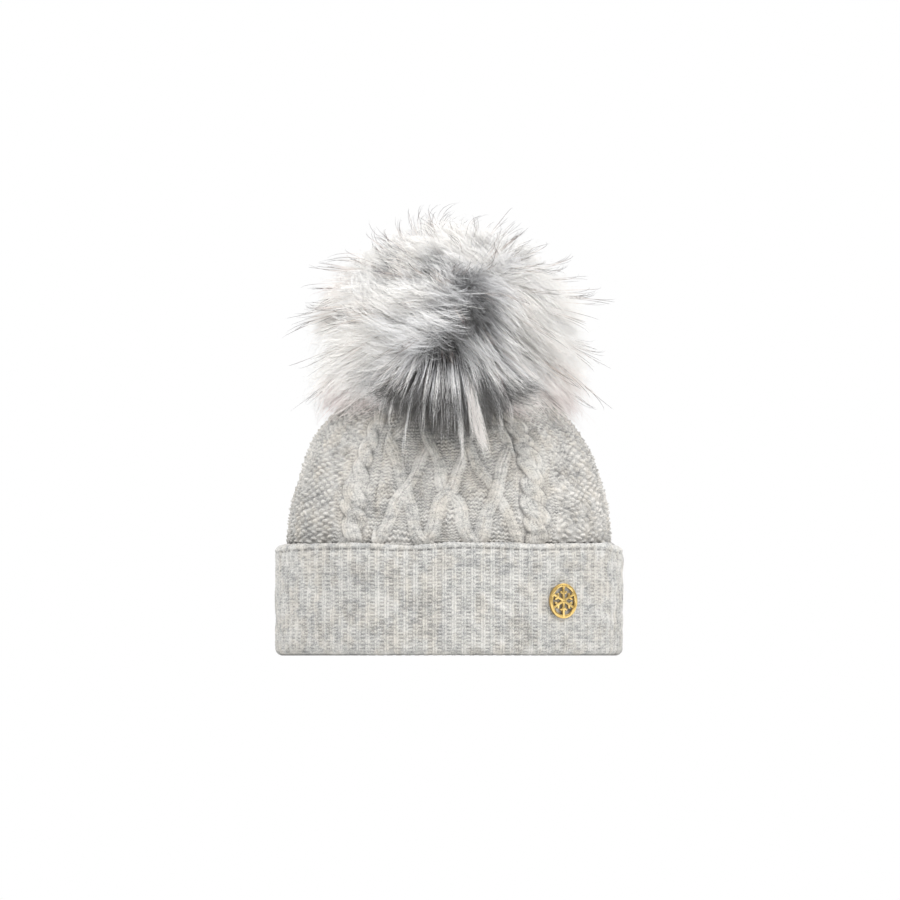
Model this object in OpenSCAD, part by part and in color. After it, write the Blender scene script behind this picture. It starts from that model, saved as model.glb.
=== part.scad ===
// Knitted beanie with a turned-up ribbed cuff and a fur pom on a press snap.
// The hat stands open on the fold of its cuff, as it would on a head.
// Millimetres. +Z up, -Y to the front, origin under the middle of the cuff's fold.

/* [Rib band] */
// Height of the turned-up cuff
cuff_h = 70; // [64:1:78]
// Half of the cuff's width, side to side
cuff_half_w = 107.4; // [102:0.1:110]
// Half of the cuff's depth, front to back
cuff_half_d = 80; // [76:0.5:84]
// Thickness of one layer of ribbed knit
rib_t = 5; // [4.6:0.1:5.4]
// Gap between the inner layer and the turned-up layer
rib_gap = 2.9; // [2.6:0.1:3.4]
// How far the inner layer stops below the cuff's top edge
link_drop = 8; // [6:0.5:12]
// Squareness of the cuff's oval, where 2 is an ellipse
oval_n = 2.4; // [2.1:0.1:2.6]

/* [Crown] */
// Height of the crown above the cuff's top edge
crown_rise = 113; // [106:1:118]
// Thickness of the cable-knit crown
crown_t = 3.5; // [3:0.1:4]
// Radius of the felt patch inside the top
patch_r = 15; // [12:0.5:17]
// Thickness of the felt patch
patch_t = 1.5; // [1:0.1:1.8]

/* [Pom] */
// Radius of the pom at its widest, to the tips of the dense fur
pom_r = 86; // [78:0.5:90]
// Height of the widest level above the crown's top
pom_mid = 7; // [4:0.5:12]
// Height of the fur above its widest level
pom_up = 80; // [72:1:84]
// Radius of the stuffed bag that carries the fur
bag_r = 36; // [32:0.5:38]
// Half of the bag's height
bag_h = 27; // [25:0.5:30]
// Thickness of the fur's knitted backing
backing_t = 1.5; // [1:0.1:1.8]
// How far the pom leans each way on its base, in degrees
lean_max = 6; // [3:0.5:6.5]

/* [Press snap] */
// Outer radius of the socket and of the stud's flange
snap_r = 6.5; // [6:0.1:7.5]
// Radius of the stud's head
stud_r = 3.25; // [3:0.05:3.3]
// Radius of the leather disc under the pom
disc_r = 13; // [11:0.5:14]
// Thickness of the leather disc
disc_t = 1.6; // [1.2:0.1:1.8]

/* [Badge] */
// Distance of the badge from the middle of the front
badge_x = 70; // [55:1:74]
// Height of the badge's middle
badge_z = 34; // [28:1:42]
// Width of the badge
badge_w = 19; // [14:0.5:20]
// Height of the badge
badge_h = 21.6; // [18:0.1:26]
// Thickness of the badge's plate
badge_t = 1.8; // [1.4:0.1:2.4]

/* [Care label] */
// Width of the label
label_w = 25; // [18:1:28]
// Length that hangs below the seam
label_l = 42; // [30:1:50]
// Thickness of the folded ribbon
label_t = 0.8; // [0.5:0.1:0.9]

/* [Hidden] */

around = 72;        // points round each oval
crown_steps = 15;   // levels from the crown's base to its top
touch = 0.1;        // how far a stitch sinks into the cloth it holds

// Knit layers, as distances in from the outermost surface of the cuff
fold_w = 2 * rib_t + rib_gap;
fold_r = 4.7;
gap_mid = rib_t + rib_gap / 2;
crown_in = rib_t + rib_gap;
link_z = cuff_h - link_drop;

// The crown's outer and inner half sizes at its base, and its top
crown_a = cuff_half_w - crown_in;
crown_b = cuff_half_d - crown_in;
crown_top = cuff_h + crown_rise;
post_hole_r = 2.6;

// Levels of the stack at the top, from the patch up to the stuffed bag
patch_top = crown_top - crown_t - 2.9;
patch_bottom = patch_top - patch_t;
socket_floor = crown_top + 0.9;
socket_top = crown_top + 4.2;
ring_z = crown_top + 3.1;
stud_flange = socket_top + 0.3;
disc_bottom = stud_flange + 0.8;
disc_top = disc_bottom + disc_t;
lean_z = disc_top + 0.5;
bag_z = disc_top + 2 + bag_h;
bag_mouth_r = 9;

// Spring ring in the socket: wire radius, and radius of the wire's middle
ring_wire = 0.4;
ring_r = stud_r + ring_wire + 0.1;

// The fur's widest level, and how far the sides come down below it
pom_mid_z = crown_top + pom_mid;
rim_drop = 33;
side_taper = 75;
lean_gap = 1;
pile_inner_r = 18;

thread_color = [0.80, 0.79, 0.77];
knit_color = [0.76, 0.75, 0.73];
steel_color = [0.72, 0.72, 0.74];
gold_color = [0.83, 0.68, 0.36];

// One oval, as points at height z
function oval(a, b, n, z) = [
    for (i = [0 : around - 1])
        let (t = 360 * i / around, c = cos(t), s = sin(t))
        [a * sign(c) * pow(abs(c), 2 / n), b * sign(s) * pow(abs(s), 2 / n), z]
];

// Points on a circular arc in a plane
function arc(x, z, r, from, to, steps) = [
    for (i = [0 : steps])
        let (t = from + (to - from) * i / steps)
        [x + r * cos(t), z + r * sin(t)]
];

// Depth of the cuff's oval, or of one inset in it, at a distance x from the middle
function oval_y(x, a, b, n) = b * pow(1 - pow(abs(x) / a, n), 1 / n);

// The crown's squareness fades to an ellipse towards the top
function crown_n(lift) = 2 + (oval_n - 2) * cos(lift);

// A point turned about the pom's leaning axis, in the plane through it
function leaned(r, z, a) = [
    r * cos(a) - (z - lean_z) * sin(a),
    lean_z + r * sin(a) + (z - lean_z) * cos(a)
];

// Half of an ellipse's arc about the Z axis, between two lifts from the level
function dome(r, h, mid_z, from, to, steps) = [
    for (i = [0 : steps])
        let (t = from + (to - from) * i / steps)
        [r * cos(t), mid_z + h * sin(t)]
];

// A closed skin through a loop of rings, each with the same number of points
module ring_loft(rings) {
    count = len(rings);
    polyhedron(
        points = [for (r = rings) each r],
        faces = [
            for (i = [0 : count - 1], j = [0 : around - 1])
                let (k = (i + 1) % count, m = (j + 1) % around)
                [i * around + j, k * around + j, k * around + m, i * around + m]
        ]
    );
}

// The folded band: inner layer, fold underneath and turned-up outer layer, in one piece
module rib_band() {
    top_r = 2;
    outline = concat(
        arc(fold_r, fold_r, fold_r, 270, 180, 4),
        arc(top_r, cuff_h - top_r, top_r, 180, 90, 3),
        arc(rib_t - top_r, cuff_h - top_r, top_r, 90, 0, 3),
        arc(gap_mid, rib_t + rib_gap / 2, rib_gap / 2, 180, 360, 4),
        [[crown_in, link_z], [fold_w, link_z]],
        arc(fold_w - fold_r, fold_r, fold_r, 0, -90, 4)
    );
    color(knit_color)
    ring_loft([for (p = outline) oval(cuff_half_w - p[0], cuff_half_d - p[0], oval_n, p[1])]);
}

// The cable-knit crown, open below and closed round the snap's post above
module crown_knit() {
    last = 88;
    lifts = [for (i = [0 : crown_steps]) last * i / crown_steps];
    outer = [
        for (t = lifts)
            oval(crown_a * cos(t), crown_b * cos(t), crown_n(t), cuff_h + crown_rise * sin(t))
    ];
    inner_a = crown_a - crown_t;
    inner_b = crown_b - crown_t;
    inner_h = crown_rise - crown_t;
    inner = [
        for (t = lifts)
            oval(inner_a * cos(t), inner_b * cos(t), crown_n(t), cuff_h + inner_h * sin(t))
    ];
    rings = concat(
        [oval(crown_a, crown_b, oval_n, link_z)],
        [for (i = [0 : crown_steps - 1]) outer[i]],
        [oval(post_hole_r, post_hole_r, 2, crown_top)],
        [oval(post_hole_r, post_hole_r, 2, crown_top - crown_t)],
        [for (i = [crown_steps - 1 : -1 : 0]) inner[i]],
        [oval(inner_a, inner_b, oval_n, link_z)]
    );
    color(knit_color)
    ring_loft(rings);
}

// Linked seam inside, where the crown is joined to the band's inner layer
module crown_link_seam() {
    seam_r = 0.75;
    color(thread_color)
    ring_loft([
        for (p = arc(0, 0, seam_r, 0, 315, 7))
            oval(crown_a - crown_t - seam_r - p[0], crown_b - crown_t - seam_r - p[0],
                 oval_n, link_z + seam_r + p[1])
    ]);
}

// Sewn seam up the middle of the back, on the inside of the crown
module back_seam() {
    half_w = 2.5;
    thick = 1.3;
    top_lift = 68;
    steps = 12;
    b = crown_b - crown_t;
    h = crown_rise - crown_t;
    route = concat(
        [[b, link_z + 2.5, 0]],
        [for (i = [0 : steps]) let (t = top_lift * i / steps) [b * cos(t), cuff_h + h * sin(t), t]]
    );
    count = len(route);
    sections = [
        for (p = route)
            let (n = [cos(p[2]) / b, sin(p[2]) / h], u = n / norm(n))
            each [
                [-half_w, p[0] + touch, p[1]],
                [half_w, p[0] + touch, p[1]],
                [half_w * 0.7, p[0] - thick * u[0], p[1] - thick * u[1]],
                [-half_w * 0.7, p[0] - thick * u[0], p[1] - thick * u[1]]
            ]
    ];
    color(thread_color)
    polyhedron(
        points = sections,
        faces = concat(
            [[3, 2, 1, 0]],
            [
                for (i = [0 : count - 2], j = [0 : 3])
                    let (m = (j + 1) % 4)
                    [4 * i + j, 4 * i + m, 4 * (i + 1) + m, 4 * (i + 1) + j]
            ],
            [[for (j = [0 : 3]) 4 * (count - 1) + j]]
        )
    );
}

// Draw thread that gathers the last row of stitches
module crown_draw_thread() {
    thread_r = 0.75;
    color(thread_color)
    translate([0, 0, patch_top + touch + thread_r])
    rotate_extrude($fn = 48)
    translate([8, 0])
    circle(r = thread_r, $fn = 16);
}

// Felt patch that spreads the snap's pull
module crown_patch() {
    color([0.62, 0.61, 0.60])
    translate([0, 0, patch_bottom])
    difference() {
        cylinder(r = patch_r, h = patch_t, $fn = 64);
        translate([0, 0, -1])
        cylinder(r = post_hole_r, h = patch_t + 2, $fn = 32);
    }
}

// A ring of short straight stitches lying on a surface at height z
module stitch_ring(r, z, count, length, thread_r) {
    for (i = [0 : count - 1])
        rotate([0, 0, 360 * i / count])
        translate([r, length / 2, z])
        rotate([90, 0, 0])
        cylinder(r = thread_r, h = length, $fn = 16);
}

module patch_stitching() {
    color(thread_color)
    stitch_ring(patch_r - 2, patch_bottom - 0.35 + touch, 20, 2.6, 0.35);
}

// Socket half of the press snap, on top of the crown, with a groove for its spring ring
module snap_socket() {
    mouth_r = stud_r + 0.3;
    groove_r = ring_r + ring_wire + 0.15;
    groove_h = ring_wire + 0.2;
    lip = 0.6;
    color(steel_color)
    rotate_extrude($fn = 64)
    polygon([
        [2.4, crown_top], [snap_r - lip, crown_top], [snap_r, crown_top + lip],
        [snap_r, socket_top - 1.6], [snap_r - 1.4, socket_top],
        [mouth_r, socket_top], [mouth_r, ring_z + groove_h],
        [groove_r, ring_z + groove_h], [groove_r, ring_z - groove_h],
        [mouth_r, ring_z - groove_h], [mouth_r, socket_floor], [2.4, socket_floor]
    ]);
}

// Post that is pressed through the patch and the knit, and crimped in the socket
module snap_socket_post() {
    tube_r = 2.3;
    bore_r = 1.5;
    flange_t = 0.8;
    bottom = patch_bottom - flange_t;
    crimp = socket_floor + 0.5;
    color(steel_color)
    rotate_extrude($fn = 64)
    polygon([
        [bore_r, bottom], [snap_r, bottom], [snap_r, patch_bottom], [tube_r, patch_bottom],
        [tube_r, socket_floor], [tube_r + 0.6, socket_floor], [tube_r + 0.6, crimp],
        [bore_r, crimp]
    ]);
}

// Split spring ring that grips the stud's neck
module snap_spring_ring() {
    split = 36;
    color([0.80, 0.80, 0.82])
    translate([0, 0, ring_z])
    rotate([0, 0, split / 2])
    rotate_extrude(angle = 360 - split, $fn = 64)
    translate([ring_r, 0])
    circle(r = ring_wire, $fn = 16);
}

// Stud half of the press snap, under the pom
module snap_stud() {
    bore_r = 2.05;
    neck_r = stud_r - 0.5;
    head_bottom = socket_floor + 0.8;
    color(steel_color)
    rotate_extrude($fn = 64)
    polygon([
        [bore_r, head_bottom + 0.5], [bore_r + 0.3, head_bottom], [stud_r - 0.5, head_bottom],
        [stud_r, head_bottom + 0.4], [stud_r, ring_z - 0.7], [neck_r, ring_z - 0.3],
        [neck_r, stud_flange], [snap_r - 0.2, stud_flange], [snap_r - 0.2, disc_bottom],
        [bore_r, disc_bottom]
    ]);
}

// Post that is pressed down through the leather disc into the stud
module snap_stud_post() {
    tube_r = 2;
    bore_r = 1.2;
    flange_t = 0.5;
    color(steel_color)
    rotate_extrude($fn = 64)
    polygon([
        [bore_r, ring_z - 0.6], [tube_r, ring_z - 0.6], [tube_r, disc_top],
        [5.5, disc_top], [5.5, disc_top + flange_t], [bore_r, disc_top + flange_t]
    ]);
}

// Leather disc that the pom is sewn to
module pom_base_disc() {
    color([0.58, 0.56, 0.54])
    translate([0, 0, disc_bottom])
    difference() {
        cylinder(r = disc_r, h = disc_t, $fn = 64);
        translate([0, 0, -1])
        cylinder(r = 2.1, h = disc_t + 2, $fn = 32);
    }
}

module base_disc_stitching() {
    color(thread_color)
    stitch_ring(disc_r - 2.2, disc_bottom - 0.35 + touch, 14, 3, 0.35);
}

// Knitted backing of the fur, sewn into a bag and gathered round its mouth
module fur_backing() {
    mouth = -acos(bag_mouth_r / bag_r);
    inner_r = bag_r - backing_t;
    inner_h = bag_h - backing_t;
    inner_mouth = -acos(bag_mouth_r / inner_r);
    color([0.55, 0.54, 0.53])
    rotate_extrude($fn = 72)
    polygon(concat(
        dome(bag_r, bag_h, bag_z, mouth, 90, 24),
        dome(inner_r, inner_h, bag_z, 90, inner_mouth, 24)
    ));
}

// Polyester filling, a little smaller than the bag
module pom_stuffing() {
    slack = backing_t + 0.2;
    color([0.95, 0.95, 0.94])
    rotate_extrude($fn = 72)
    polygon(dome(bag_r - slack, bag_h - slack, bag_z, -90, 90, 36));
}

// Thread drawn round the bag's mouth
module gather_thread() {
    thread_r = 0.5;
    r = bag_mouth_r + 1.5;
    surface_z = bag_z - bag_h * sqrt(1 - pow(r / bag_r, 2));
    color(thread_color)
    translate([0, 0, surface_z - thread_r + touch])
    rotate_extrude($fn = 48)
    translate([r, 0])
    circle(r = thread_r, $fn = 16);
}

// The fur as one body: its underside clears the crown through the whole lean
module fur_pile() {
    rim_lift = -asin(rim_drop / side_taper);
    first = acos(71.5 / crown_a);
    last = acos(pile_inner_r / crown_a);
    steps = 12;
    underside = [
        for (i = [0 : steps])
            let (t = last + (first - last) * i / steps)
            leaned(crown_a * cos(t), cuff_h + crown_rise * sin(t), lean_max) + [0, lean_gap]
    ];
    bag_clear = 0.3;
    hollow_r = bag_r + bag_clear;
    hollow_h = bag_h + bag_clear;
    start = -acos(underside[0][0] / hollow_r);
    color([0.87, 0.86, 0.85])
    rotate_extrude($fn = 72)
    polygon(concat(
        dome(hollow_r, hollow_h, bag_z, 90, start, 24),
        underside,
        dome(pom_r, side_taper, pom_mid_z, rim_lift, 0, 6),
        dome(pom_r, pom_up, pom_mid_z, 6, 90, 14)
    ));
}

// Places its children on the cuff's outer surface at the badge, facing out
module on_badge_spot() {
    y = oval_y(badge_x, cuff_half_w, cuff_half_d, oval_n);
    yaw = atan2(
        pow(badge_x / cuff_half_w, oval_n - 1) / cuff_half_w,
        pow(y / cuff_half_d, oval_n - 1) / cuff_half_d
    );
    translate([badge_x, -y, badge_z])
    rotate([0, 0, yaw])
    rotate([90, 0, 0])
    children();
}

// Upright oval outline
module badge_oval(w, h) {
    polygon([for (i = [0 : 47]) let (t = 360 * i / 48) [w / 2 * cos(t), h / 2 * sin(t)]]);
}

// Open oval ring with a six-armed snowflake, and two posts behind
module badge() {
    rim = 2;
    arm_w = 1.4;
    twig_w = 1.1;
    twig_l = 2.6;
    post_r = 0.8;
    post_l = 8;
    color(gold_color)
    on_badge_spot() {
        linear_extrude(height = badge_t)
        union() {
            difference() {
                badge_oval(badge_w, badge_h);
                badge_oval(badge_w - 2 * rim, badge_h - 2 * rim);
            }
            intersection() {
                badge_oval(badge_w - rim, badge_h - rim);
                for (i = [0 : 5])
                    rotate(60 * i + 30)
                    union() {
                        translate([0, -arm_w / 2])
                        square([badge_h / 2, arm_w]);
                        for (side = [-1, 1])
                            translate([badge_w * 0.22, 0])
                            rotate(side * 55)
                            translate([0, -twig_w / 2])
                            square([twig_l, twig_w]);
                    }
            }
        }
        for (side = [-1, 1])
            translate([0, side * (badge_h / 2 - rim / 2), -post_l + 1])
            cylinder(r = post_r, h = post_l, $fn = 24);
    }
}

// Plate in the cuff's fold that the badge's posts are bent over
module badge_back_plate() {
    plate_w = 9;
    plate_l = badge_h + 3;
    plate_t = 0.7;
    color(steel_color)
    on_badge_spot()
    translate([0, 0, -rib_t - 1.1])
    difference() {
        translate([-plate_w / 2, -plate_l / 2, 0])
        cube([plate_w, plate_l, plate_t]);
        for (side = [-1, 1])
            translate([0, side * (badge_h / 2 - 1), -1])
            cylinder(r = 0.9, h = plate_t + 2, $fn = 24);
    }
}

// Folded ribbon that hangs from the linked seam at the middle of the back
module care_label() {
    wall_y = oval_y(label_w / 2, cuff_half_w - fold_w, cuff_half_d - fold_w, oval_n);
    color([0.96, 0.96, 0.95])
    translate([-label_w / 2, wall_y - 0.4 - label_t, link_z - 0.3 - label_l])
    cube([label_w, label_t, label_l]);
}

// Two bar tacks that hold the ribbon's ends in the seam
module label_bar_tacks() {
    tack_w = 1;
    tack_t = 0.8;
    tack_l = 5;
    x = label_w / 2 - 1.5;
    wall_y = oval_y(x + tack_w / 2, crown_a - crown_t, crown_b - crown_t, oval_n);
    color(thread_color)
    for (side = [-1, 1])
        translate([side * x - tack_w / 2, wall_y - tack_t + touch, link_z + 2])
        cube([tack_w, tack_t, tack_l]);
}

rib_band();
crown_knit();
crown_link_seam();
back_seam();
crown_draw_thread();
crown_patch();
patch_stitching();
snap_socket();
snap_socket_post();
snap_spring_ring();
snap_stud();
snap_stud_post();
pom_base_disc();
base_disc_stitching();
fur_backing();
pom_stuffing();
gather_thread();
fur_pile();
badge();
badge_back_plate();
care_label();
label_bar_tacks();
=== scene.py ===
"""Pom pom beanie: the looks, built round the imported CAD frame. Metres, +Z up, -Y to the front."""
import math

import bmesh
import bpy
import numpy as np
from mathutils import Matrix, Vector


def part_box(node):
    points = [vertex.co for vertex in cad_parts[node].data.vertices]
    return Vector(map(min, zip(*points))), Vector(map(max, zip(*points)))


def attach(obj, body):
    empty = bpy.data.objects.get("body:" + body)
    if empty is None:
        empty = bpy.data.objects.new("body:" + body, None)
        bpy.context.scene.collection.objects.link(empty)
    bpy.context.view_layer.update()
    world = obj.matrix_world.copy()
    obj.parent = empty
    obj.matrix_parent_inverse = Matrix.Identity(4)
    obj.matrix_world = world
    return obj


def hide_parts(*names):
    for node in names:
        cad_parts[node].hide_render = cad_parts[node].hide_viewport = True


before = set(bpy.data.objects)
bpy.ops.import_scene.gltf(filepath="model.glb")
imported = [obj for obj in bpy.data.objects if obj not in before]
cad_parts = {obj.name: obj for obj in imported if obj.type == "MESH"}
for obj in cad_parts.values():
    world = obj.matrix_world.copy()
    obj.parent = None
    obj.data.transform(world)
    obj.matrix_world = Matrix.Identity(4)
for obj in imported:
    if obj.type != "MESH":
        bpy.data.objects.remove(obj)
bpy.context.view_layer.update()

MM = 0.001
TAU = 2 * math.pi

# The UV map that each piece brings with it, laid out by the script, so that no hair needs unwrapping.
BAKE_MAP = "OFBake"
STITCH_MAP = "stitches"

# Sizes of the hat, from the frame
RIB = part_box("rib_band")[1]
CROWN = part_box("crown_knit")[1]
CUFF_A, CUFF_B, CUFF_H = RIB.x, RIB.y, RIB.z
CROWN_A, CROWN_B, CROWN_TOP = CROWN.x, CROWN.y, CROWN.z
CROWN_RISE = CROWN_TOP - CUFF_H
LINK_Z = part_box("crown_knit")[0].z
OVAL_N = 2.4
RIB_T, RIB_GAP, FOLD_R = 5 * MM, 2.9 * MM, 4.7 * MM
FOLD_W = 2 * RIB_T + RIB_GAP
CROWN_T = 3.5 * MM
GAP_SEEN_Z = CUFF_H - 12 * MM

# The pom: the bag that the fur grows on, and the outer surface of the dense fur
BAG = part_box("fur_backing")[1]
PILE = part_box("fur_pile")[1]
BAG_Z, BAG_MOUTH = CROWN_TOP + 35.9 * MM, 9 * MM
BAG_R, BAG_H = BAG.x, BAG.z - BAG_Z
POM_Z = 203 * MM
POM_A, POM_UP, POM_DOWN = PILE.x, PILE.z - POM_Z, 57 * MM
POM = np.array([0, 0, POM_Z])

# Fur lies away from this line, seen from the front as x and z. Its lower end is the whorl.
PARTING = np.array([[-5.5 * MM, 177 * MM], [31 * MM, 235 * MM]])
WHORL = np.array([PARTING[0, 0], 0, PARTING[0, 1]])
# No hair goes past these distances from the origin
HAIR_REACH = np.array([108, 98, 287]) * MM
GUARD_REACH = np.array([106, 98, 286]) * MM

# The photo's view: how wide it is, and where it is seen from
VIEW_SIZE = 555.3 * MM
VIEW_FROM = (0.6 * MM, -2.0, 127.1 * MM)

# Gauge of the knit: the ribs go round the whole band, the stitches round the whole crown
STITCH_W, ROW_H = 3.0 * MM, 2.2 * MM
RIBS = 102
SAMPLES_PER_RIB = 12
CROWN_STITCHES = 184
SEED_COLUMNS = 132
SAMPLES_PER_STITCH = 6


def fast(full):
    return full


# ---------------------------------------------------------------- numbers


def smooth(edge0, edge1, x):
    """0 before edge0, 1 past edge1 and an S between. The edges may fall as well as rise."""
    t = np.clip((x - edge0) / (edge1 - edge0), 0, 1)
    return t * t * (3 - 2 * t)


def spread(v):
    """Stretches values to run from 0 to 1."""
    return (v - v.min()) / (v.max() - v.min())


def frac(x):
    return x - np.floor(x)


def blurred(h, wrap_v, reach=3, times=2):
    """Box blur of a grid that wraps along its columns, reach samples each way."""
    for _ in range(times):
        for axis, mode in ((1, "wrap"), (0, "wrap" if wrap_v else "edge")):
            pad = [(0, 0), (0, 0)]
            pad[axis] = (reach + 1, reach)
            total = np.cumsum(np.pad(h, pad, mode=mode), axis=axis)
            width, size = 2 * reach + 1, h.shape[axis]
            ahead = np.take(total, np.arange(size) + width, axis=axis)
            h = (ahead - np.take(total, np.arange(size), axis=axis)) / width
    return h


def relief(h, wrap_v):
    """How far each point stands above its surroundings: 0 in a crease, 1 on a ridge. The wool multiplies its
    colour by it as painted shade in the creases.
    """
    return np.clip(0.6 + (h - blurred(h, wrap_v)) / (1.3 * MM), 0, 1)


def unit(v):
    """Vectors of length 1."""
    return v / np.maximum(np.linalg.norm(v, axis=-1, keepdims=True), 1e-12)


class Ripple:
    """Smooth seeded noise in any number of dimensions, about -1 to 1: a sum of waves."""

    def __init__(self, seed, dims, scale, waves=24):
        rng = np.random.default_rng(seed)
        self.k = unit(rng.normal(size=(waves, dims))) * rng.uniform(0.4, 1.6, (waves, 1)) / scale
        self.phase = rng.uniform(0, TAU, waves)
        self.amp = 1.6 / math.sqrt(waves)

    def __call__(self, *coords):
        total = 0
        for k, phase in zip(self.k, self.phase):
            total = total + np.cos(sum(ki * c for ki, c in zip(k, coords)) * TAU + phase)
        return total * self.amp


def hashed(i, j):
    """A repeatable number from 0 to 1 for each pair of whole numbers."""
    return frac(np.sin(i * 127.1 + j * 311.7) * 43758.5453)


# ---------------------------------------------------------------- ovals


def oval(a, b, n, theta):
    """Superellipse. theta is 0 at the front and grows towards +X."""
    s, c = np.sin(theta), np.cos(theta)
    x = a * np.sign(s) * np.abs(s) ** (2 / n)
    y = -b * np.sign(c) * np.abs(c) ** (2 / n)
    return x, y


def even_angles(a, b, n, count):
    """count angles, evenly spaced along the oval's length from the front, and that length."""
    t = np.linspace(0, TAU, 20001)
    x, y = oval(a, b, n, t)
    run = np.concatenate([[0], np.cumsum(np.hypot(np.diff(x), np.diff(y)))])
    want = np.arange(count) / count * run[-1]
    return np.interp(want, run, t), run[-1]


# ---------------------------------------------------------------- meshes


def mesh_object(name, points, faces, maps=None, floats=None, flat=False):
    """A mesh from points (n, 3) and a list of arrays of faces of one size each.

    maps holds the UV maps, each a list of arrays that match faces: (count, corners, 2).
    """
    me = bpy.data.meshes.new(name)
    points = np.ascontiguousarray(points, np.float32)
    me.vertices.add(len(points))
    me.vertices.foreach_set("co", points.ravel())
    corners = np.concatenate([f.ravel() for f in faces]).astype(np.int32)
    sizes = np.concatenate([np.full(len(f), f.shape[1]) for f in faces])
    starts = np.concatenate([[0], np.cumsum(sizes)[:-1]]).astype(np.int32)
    me.loops.add(len(corners))
    me.loops.foreach_set("vertex_index", corners)
    me.polygons.add(len(sizes))
    me.polygons.foreach_set("loop_start", starts)
    me.polygons.foreach_set("use_smooth", np.full(len(sizes), not flat))
    for key, values in (maps or {}).items():
        layer = me.uv_layers.new(name=key)
        flat_uv = np.concatenate([v.reshape(-1, 2) for v in values]).astype(np.float32)
        layer.data.foreach_set("uv", flat_uv.ravel())
    for key, values in (floats or {}).items():
        me.attributes.new(key, "FLOAT", "POINT").data.foreach_set("value", values.astype(np.float32))
    me.update(calc_edges=True)
    me.validate()
    ob = bpy.data.objects.new(name, me)
    bpy.context.scene.collection.objects.link(ob)
    return ob


def grid_normals(p, wrap_u):
    """Normals of a grid (rows, columns, 3) that face out where columns run anticlockwise."""
    if wrap_u:
        du = np.roll(p, -1, axis=1) - np.roll(p, 1, axis=1)
    else:
        du = np.gradient(p, axis=1)
    dv = np.gradient(p, axis=0)
    return unit(np.cross(du, dv))


def grid_faces(rows, cols, wrap_u, wrap_v=False, start=0):
    """Quads of a grid of points. It may close on itself along its columns, its rows or both."""
    i = np.arange(rows if wrap_v else rows - 1)[:, None]
    j = np.arange(cols if wrap_u else cols - 1)[None, :]
    k, m = (i + 1) % rows, (j + 1) % cols
    quads = np.stack([i * cols + j, i * cols + m, k * cols + m, k * cols + j], axis=-1)
    return quads.reshape(-1, 4) + start


def grid_uv(u, v, wrap_u, wrap_v=False):
    """Corner UVs of grid_faces. u and v hold one more value than the grid where it wraps."""
    rows, cols = len(v) - 1, len(u) - 1
    i = np.arange(rows)[:, None] + np.zeros(cols, int)[None, :]
    j = np.zeros(rows, int)[:, None] + np.arange(cols)[None, :]
    uv = np.stack([
        np.stack([u[j], v[i]], -1), np.stack([u[j + 1], v[i]], -1),
        np.stack([u[j + 1], v[i + 1]], -1), np.stack([u[j], v[i + 1]], -1),
    ], axis=2)
    return uv.reshape(-1, 4, 2)


# ---------------------------------------------------------------- stitches, heights in metres


def knit_wale(x, r):
    """One column of V stitches. x runs from -1 to 1 across it and r counts rows."""
    ax = np.abs(x)
    q = frac(r - 0.9 * ax)
    tuck = np.abs(2 * q - 1) ** 5
    legs = np.exp(-((ax - 0.5) / 0.34) ** 2)
    edge = np.sqrt(np.clip(1 - ax ** 4, 0, 1))
    return edge * (0.3 + 0.7 * legs) * (1 - 0.42 * tuck)


def rib_height(u, r):
    """1x1 rib: u counts ribs and r counts rows. 0 at the tops, negative between."""
    depth = 1.5 * MM
    x = 2 * frac(u) - 1
    wale = knit_wale(x / 0.56, r)
    inside = 1 - smooth(0.44, 0.62, np.abs(x))
    valley = 0.12 + 0.42 * (0.5 + 0.5 * np.cos(TAU * (r + 0.5)))
    return depth * (inside * (0.1 + 0.9 * wale) + (1 - inside) * valley - 1)


def seed_height(c, r):
    """Seed stitch: a broad purl bump on every other stitch, offset row by row."""
    sway = 0.20 * np.sin(2.3 * r + 1.7 * np.sin(0.7 * c))
    bump = np.cos(math.pi * (c + sway)) * np.cos(math.pi * (r + 0.12 * np.sin(1.3 * c)))
    lift = 0.55 + 0.8 * hashed(np.round(c), np.round(r))
    return MM * (1.6 * np.clip(bump, 0, 1) ** 0.6 * lift - 0.7)


def purl_height(c, r):
    """Reverse stockinette: interlocked wavy bars."""
    return 0.5 * MM * np.cos(TAU * (r + 0.2 * np.cos(TAU * c)))


def round_top(x, half_w):
    """A strand's round back, from 1 on its line to 0 at its sides."""
    return np.sqrt(np.clip(1 - (x / half_w) ** 2, 0, 1))


ROPE_SWING, ROPE_STRAND, ROPE_REPEAT = 2.6 * MM, 5.9 * MM, 25 * MM


def rope_height(x, v):
    """Two strands that twist round each other along x = 0. Far below the ground beside them."""
    phase = TAU * v / ROPE_REPEAT
    best = np.full(np.broadcast(x, v).shape, -9 * MM)
    for turn in (0, math.pi):
        dx = x - ROPE_SWING * np.cos(phase + turn)
        top = round_top(dx, ROPE_STRAND)
        wale = knit_wale(2 * frac(1.5 * dx / ROPE_STRAND + 0.5) - 1, v / ROW_H)
        h = MM * (-1.0 + 1.0 * np.sin(phase + turn) + 1.4 * top ** 1.3 + 0.9 * wale * top)
        best = np.maximum(best, np.where(top > 0, h, -9 * MM))
    return best


DIAMOND_W, DIAMOND_H, DIAMOND_Z = 30 * MM, 66 * MM, 101 * MM
STRAND_HALF_W = 4.8 * MM


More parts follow.
